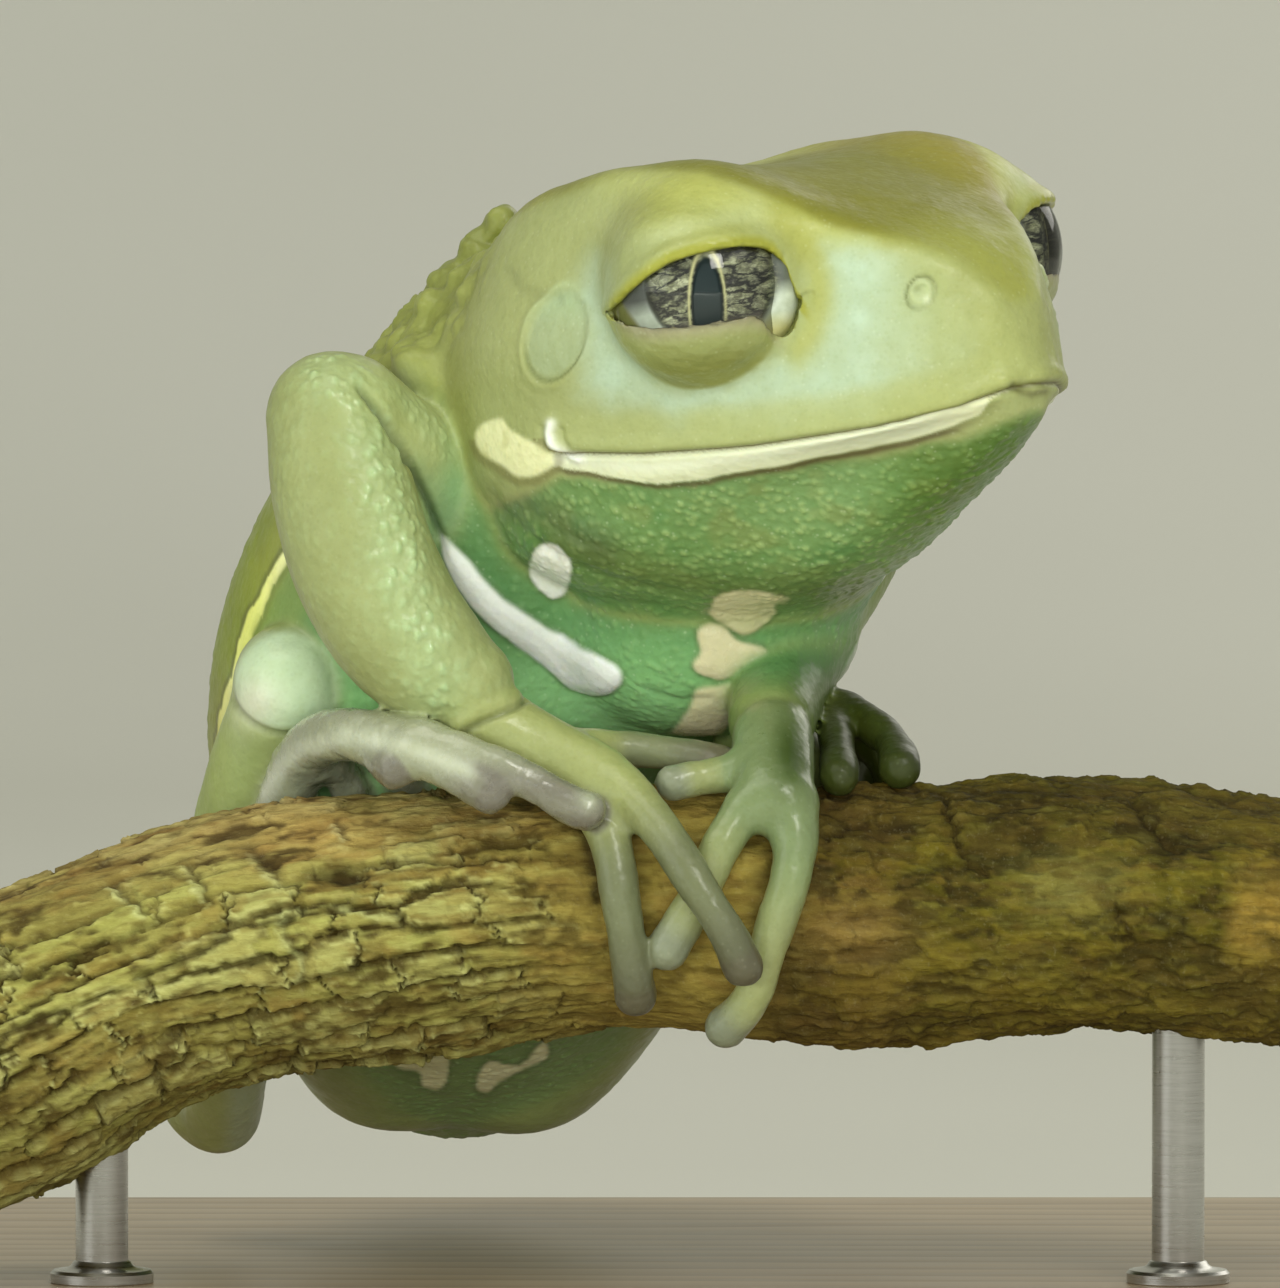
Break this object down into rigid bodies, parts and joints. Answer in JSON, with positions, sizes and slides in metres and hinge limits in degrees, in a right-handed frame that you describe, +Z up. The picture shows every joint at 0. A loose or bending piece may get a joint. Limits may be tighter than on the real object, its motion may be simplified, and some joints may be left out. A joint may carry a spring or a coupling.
{
  "type": "waxy monkey tree frog on a perch and display stand",
  "caption": "Life-size tree frog that grips a short cut branch with crossed hands and looks to its left, on a flat wooden base with short rods.",
  "frame": {"origin": "middle of the stand base's underside", "axes": "+X along the perch to the viewer's right, +Y away from the viewer, +Z up; the frog's chest faces -Y and its head is turned towards +X"},
  "size_m": [0.078, 0.07, 0.0567],
  "materials": {
    "skin_green": "moist waxy skin, yellowish olive green with paler cheeks and hands",
    "skin_throat": "granular dark green throat and chest with pale patches",
    "eye": "clear gloss over a silver grey iris with an upright black pupil",
    "bark": "dry cracked bark",
    "stand_wood": "dark stained wood, satin",
    "stand_steel": "brushed"
  },
  "bodies": {
    "root": {"head": "skin_green", "neck": "skin_green", "trunk": "skin_green", "upper_arm_left": "skin_green", "upper_arm_right": "skin_green", "forearm_left": "skin_green", "forearm_right": "skin_green", "hand_left": "skin_green", "hand_right": "skin_green", "thigh_left": "skin_green", "thigh_right": "skin_green", "shank_left": "skin_green", "shank_right": "skin_green", "tarsus_left": "skin_green", "tarsus_right": "skin_green", "foot_left": "skin_green", "foot_right": "skin_green", "lower_jaw": "skin_throat", "eye_left": "eye", "eye_right": "eye", "perch": "bark", "stand_base": "stand_wood", "stand_rod_left": "stand_steel", "stand_rod_right": "stand_steel"}
  },
  "joints": []
}
